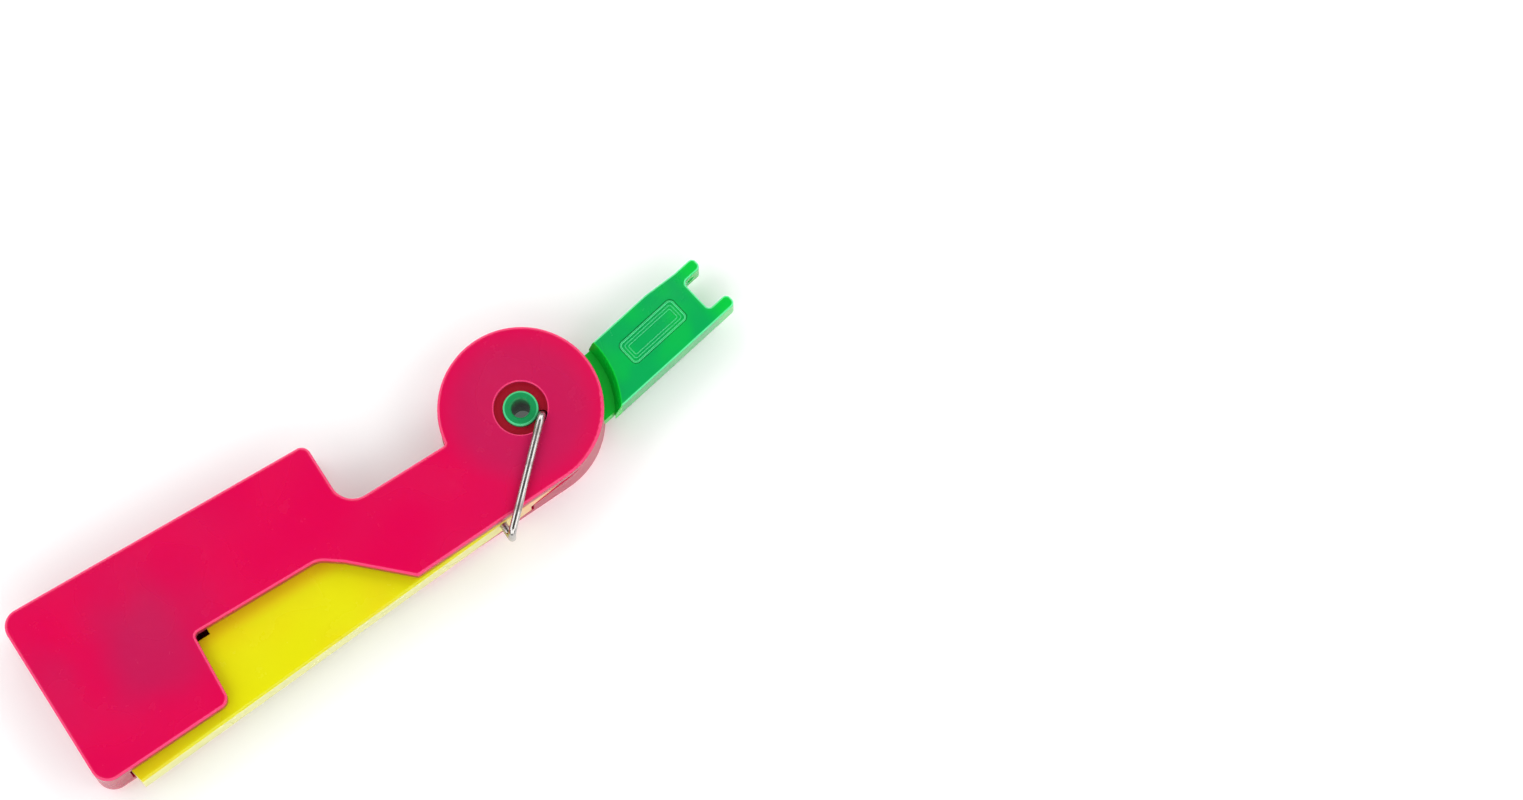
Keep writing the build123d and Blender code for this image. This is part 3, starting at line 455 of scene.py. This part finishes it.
def give(modifier, **inputs):
    """Set a geometry nodes modifier's inputs by their sockets' identifiers."""
    for item in modifier.node_group.interface.items_tree:
        if item.item_type == "SOCKET" and item.in_out == "INPUT" and item.name in inputs:
            modifier[item.identifier] = inputs[item.name]


def round_path(name, points, radius, sides, material, closed=False):
    """A round wire or bead along a path, as a plain mesh whose place is in the mesh."""
    edges = [(i, i + 1) for i in range(len(points) - 1)]
    if closed:
        edges.append((len(points) - 1, 0))
    path = bpy.data.meshes.new(name + "_path")
    path.from_pydata(points, edges, [])
    piece = bpy.data.objects.new(name, path)
    bpy.context.scene.collection.objects.link(piece)
    modifier = piece.modifiers.new("wire", "NODES")
    modifier.node_group = round_path_tree()
    give(modifier, Radius=radius, Sides=sides, Material=material)
    graph = bpy.context.evaluated_depsgraph_get()
    mesh = bpy.data.meshes.new_from_object(piece.evaluated_get(graph))
    piece.modifiers.remove(modifier)
    mesh.name = name
    tidy_mesh(mesh)
    mesh.materials.clear()
    mesh.materials.append(material)
    piece.data = mesh
    if not mesh.polygons:
        raise RuntimeError(name + " has no faces")
    return piece


def tidy_mesh(mesh):
    work = bmesh.new()
    work.from_mesh(mesh)
    bmesh.ops.remove_doubles(work, verts=work.verts, dist=1e-8)
    bmesh.ops.recalc_face_normals(work, faces=work.faces)
    work.to_mesh(mesh)
    work.free()


def arc(centre, start, axis, angle, steps):
    """Points from start, turned about an axis through the centre; the start itself is left out."""
    arm = start - centre
    return [centre + Matrix.Rotation(angle * (i + 1) / steps, 3, axis) @ arm for i in range(steps)]


def rounded(corners, radius, steps=12):
    """The corners of a bent wire, with each inner corner turned on a radius."""
    points = [corners[0]]
    for before, corner, after in zip(corners, corners[1:], corners[2:]):
        back, ahead = (before - corner).normalized(), (after - corner).normalized()
        turn = math.pi - back.angle(ahead)
        reach = radius * math.tan(turn / 2)
        start = corner + back * reach
        centre = corner + (back + ahead).normalized() * (radius / math.cos(turn / 2))
        axis = (-back).cross(ahead).normalized()
        points += [start] + arc(centre, start, axis, turn, steps)
    return points + [corners[-1]]


def lever_spring_path(metal):
    """Hidden leg, part turn round the trunnion, rise through the ring, and leg that ends in the lever."""
    radius = metal.wire / 2 / MM
    coil = metal.coil / MM
    coil_z = COIL_TOP - radius
    leg_z = LEG_UNDERSIDE + radius
    first = at_hub(0, coil, coil_z)
    points = [at_hub(HIDDEN_LEG, coil, coil_z), first]
    points += arc(at_hub(0, 0, coil_z), first, "Z", COIL_END - COIL_START, 48)
    along = Vector((-math.sin(COIL_END), math.cos(COIL_END), 0))
    up = Vector((0, 0, 1))
    last = points[-1]
    points += arc(last + up * RISE_BEND * MM, last, along.cross(up), math.pi / 2, 10)
    foot = points.pop()
    edge_y = LEVER_SLOPE * LEG_END_X - LEVER_EDGE
    corners = [
        foot,
        Vector((foot.x, foot.y, leg_z * MM)),
        at_hub(LEG_END_X, edge_y - LEG_OUT, leg_z),
        at_hub(LEG_END_X, edge_y - LEG_OUT, TIP_Z),
        at_hub(LEG_END_X, edge_y + LEG_TIP, TIP_Z),
    ]
    return points + rounded(corners, metal.bend)


def slider_spring_path(metal):
    """Helix between the slider's block and the end of its pocket."""
    gap = SPRING_SEAT + metal.fine_wire / 2 / MM
    low, high = SLIDER_BLOCK_END + gap, POCKET_END - gap
    steps = int(metal.turns * 24)
    points = []
    for i in range(steps + 1):
        a = math.tau * metal.turns * i / steps
        x = low + (high - low) * i / steps
        points.append(at_arm(x, SLIDER_Y + FINE_COIL * math.sin(a), SLIDER_Z + FINE_COIL * math.cos(a)))
    return points


def rounded_loop(x0, x1, y0, y1, corner, z, steps=8):
    """Closed rounded rectangle in the arm's frame."""
    points = []
    corners = ((x1, y1, 0), (x0, y1, 90), (x0, y0, 180), (x1, y0, 270))
    for cx, cy, start in corners:
        mid_x = cx - math.copysign(corner, cx - (x0 + x1) / 2)
        mid_y = cy - math.copysign(corner, cy - (y0 + y1) / 2)
        for i in range(steps + 1):
            a = math.radians(start + 90 * i / steps)
            points.append(at_arm(mid_x + corner * math.cos(a), mid_y + corner * math.sin(a), z))
    return points


# ---------------------------------------------------------------- stage
def area_light(name, place, size, power, aim):
    data = bpy.data.lights.new(name, "AREA")
    data.shape = "DISK"
    data.size = size
    data.energy = power
    lamp = bpy.data.objects.new(name, data)
    lamp.location = place
    lamp.rotation_euler = (aim - place).to_track_quat("-Z", "Y").to_euler()
    bpy.context.scene.collection.objects.link(lamp)


def lay_floor(setup):
    mesh = bpy.data.meshes.new("floor")
    work = bmesh.new()
    bmesh.ops.create_grid(work, x_segments=2, y_segments=2, size=3.0)
    work.to_mesh(mesh)
    work.free()
    floor = bpy.data.objects.new("floor", mesh)
    bpy.context.scene.collection.objects.link(floor)
    nodes = Nodes("floor_paper")
    tone = nodes.mix(nodes.noise(40, 2), setup.floor, [c * 0.99 for c in setup.floor])
    relief = nodes.bump(nodes.noise(2000, 2), 0.00002, 0.2)
    rough = nodes.ramp(nodes.noise(300, 2), 0.3, 0.7, 0.85, 0.95)
    mesh.materials.append(nodes.finish(
        tone, rough, relief, Specular_IOR_Level=0.1, Emission_Color=(1, 1, 1, 1),
        Emission_Strength=setup.floor_glow,
    ))


def hang_lights(setup):
    centre = at_hub(-10, 0, 3)
    out = setup.box_reach * math.cos(setup.box_height)
    up = setup.box_reach * math.sin(setup.box_height)
    for i in range(setup.boxes):
        turn = math.radians(20) + math.tau * i / setup.boxes
        place = centre + Vector((out * math.cos(turn), out * math.sin(turn), up))
        area_light(f"softbox_{i}", place, setup.box_size, setup.box_power, centre)
    world = bpy.data.worlds.new("studio")
    world.use_nodes = True
    sky = world.node_tree.nodes["Background"]
    sky.inputs["Color"].default_value = (1, 1, 1, 1)
    sky.inputs["Strength"].default_value = setup.sky
    bpy.context.scene.world = world


def place_camera(setup):
    aim = at_hub(23.5, -12.2, 0)
    flat = math.cos(setup.elevation)
    look = Vector((
        flat * math.cos(setup.azimuth), flat * math.sin(setup.azimuth), -math.sin(setup.elevation)
    ))
    data = bpy.data.cameras.new("camera")
    data.lens = setup.lens
    data.sensor_width = 36.0
    data.clip_start = 0.01
    camera = bpy.data.objects.new("camera", data)
    camera.location = aim - look * setup.distance
    camera.rotation_euler = look.to_track_quat("-Z", "Y").to_euler()
    bpy.context.scene.collection.objects.link(camera)
    bpy.context.scene.camera = camera


# ---------------------------------------------------------------- operators
class THREADER_OT_handle(bpy.types.Operator):
    """Gives the two cheeks of the handle their pink plastic"""

    bl_idname = "threader.handle"
    bl_label = "Handle"

    def execute(self, context):
        plastic = shell_plastic(context.scene.threader_plastics)
        dress("rear_shell", plastic)
        dress("front_shell", plastic)
        return {"FINISHED"}


class THREADER_OT_lever(bpy.types.Operator):
    """Gives the thumb lever its yellow plastic"""

    bl_idname = "threader.lever"
    bl_label = "Lever"

    def execute(self, context):
        dress("press_lever", lever_plastic(context.scene.threader_plastics))
        return {"FINISHED"}


class THREADER_OT_arm(bpy.types.Operator):
    """Gives the arm and its cover their green plastic, and the head its bead and fine lines"""

    bl_idname = "threader.arm"
    bl_label = "Arm"

    def execute(self, context):
        plastic = arm_plastic(context.scene.threader_plastics)
        details = context.scene.threader_details
        dress("pivot_arm", plastic)
        dress("head_cover", plastic)
        x0, x1, y0, y1 = PANEL
        for name, inset, corner in BEADS:
            width = details.bead if name == "panel_bead" else details.line
            loop = rounded_loop(x0 + inset, x1 - inset, y0 + inset, y1 - inset, corner, BEAD_Z)
            piece = round_path(name, loop, width / 2, 12, plastic, closed=True)
            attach(piece, "arm")
        return {"FINISHED"}


class THREADER_OT_slides(bpy.types.Operator):
    """Gives the slider and the push rod their white plastic"""

    bl_idname = "threader.slides"
    bl_label = "Slider and push rod"

    def execute(self, context):
        plastic = slide_plastic(context.scene.threader_plastics)
        dress("hook_slider", plastic)
        dress("push_rod", plastic)
        return {"FINISHED"}


class THREADER_OT_hook(bpy.types.Operator):
    """Gives the hook blade its rolled steel"""

    bl_idname = "threader.hook"
    bl_label = "Hook blade"

    def execute(self, context):
        dress("hook_blade", steel("blade_steel", context.scene.threader_steel, (1, 0.05, 1)))
        return {"FINISHED"}


class THREADER_OT_lever_spring(bpy.types.Operator):
    """Bends the lever's torsion spring from round wire"""

    bl_idname = "threader.lever_spring"
    bl_label = "Lever spring"

    def execute(self, context):
        metal = context.scene.threader_steel
        finish = steel("spring_wire", metal, (0.3, 0.3, 1))
        piece = round_path("lever_spring_wire", lever_spring_path(metal), metal.wire / 2, 24, finish)
        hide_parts("lever_spring")
        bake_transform(piece)
        return {"FINISHED"}


class THREADER_OT_slider_spring(bpy.types.Operator):
    """Winds the slider's return spring from fine wire"""

    bl_idname = "threader.slider_spring"
    bl_label = "Slider spring"

    def execute(self, context):
        metal = context.scene.threader_steel
        finish = steel("fine_wire", metal, (1, 1, 1))
        piece = round_path("slider_spring_wire", slider_spring_path(metal), metal.fine_wire / 2, 12, finish)
        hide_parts("slider_spring")
        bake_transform(piece)
        return {"FINISHED"}


class THREADER_OT_stage(bpy.types.Operator):
    """Lays the floor, hangs the lights and sets the camera"""

    bl_idname = "threader.stage"
    bl_label = "Floor, lights and camera"

    def execute(self, context):
        setup = context.scene.threader_stage
        context.scene.view_settings.view_transform = "Standard"
        lay_floor(setup)
        hang_lights(setup)
        place_camera(setup)
        return {"FINISHED"}


class THREADER_PT_panel(bpy.types.Panel):
    """Lists the pieces of the threader"""

    bl_label = "Needle threader"
    bl_idname = "THREADER_PT_panel"
    bl_space_type = "VIEW_3D"
    bl_region_type = "UI"
    bl_category = "Threader"

    def draw(self, context):
        for settings, steps in SECTIONS:
            box = self.layout.box()
            group = getattr(context.scene, settings)
            for name in group.__annotations__:
                box.prop(group, name)
            for step in steps:
                box.operator(step.bl_idname)


# ---------------------------------------------------------------- registration
GROUPS = {
    "threader_plastics": ThreaderPlastics,
    "threader_steel": ThreaderSteel,
    "threader_details": ThreaderDetails,
    "threader_stage": ThreaderStage,
}
SECTIONS = (
    ("threader_plastics", (THREADER_OT_handle, THREADER_OT_lever, THREADER_OT_slides)),
    ("threader_details", (THREADER_OT_arm,)),
    ("threader_steel", (THREADER_OT_hook, THREADER_OT_lever_spring, THREADER_OT_slider_spring)),
    ("threader_stage", (THREADER_OT_stage,)),
)
CLASSES = (*GROUPS.values(), *(step for _, steps in SECTIONS for step in steps), THREADER_PT_panel)


def register():
    for item in CLASSES:
        bpy.utils.register_class(item)
    for name, group in GROUPS.items():
        setattr(bpy.types.Scene, name, bpy.props.PointerProperty(type=group))


def unregister():
    for name in GROUPS:
        delattr(bpy.types.Scene, name)
    for item in reversed(CLASSES):
        bpy.utils.unregister_class(item)


def main():
    register()
    bpy.ops.threader.handle()
    bpy.ops.threader.lever()
    bpy.ops.threader.arm()
    bpy.ops.threader.slides()
    bpy.ops.threader.hook()
    bpy.ops.threader.lever_spring()
    bpy.ops.threader.slider_spring()
    bpy.ops.threader.stage()


if __name__ == "__main__":
    main()
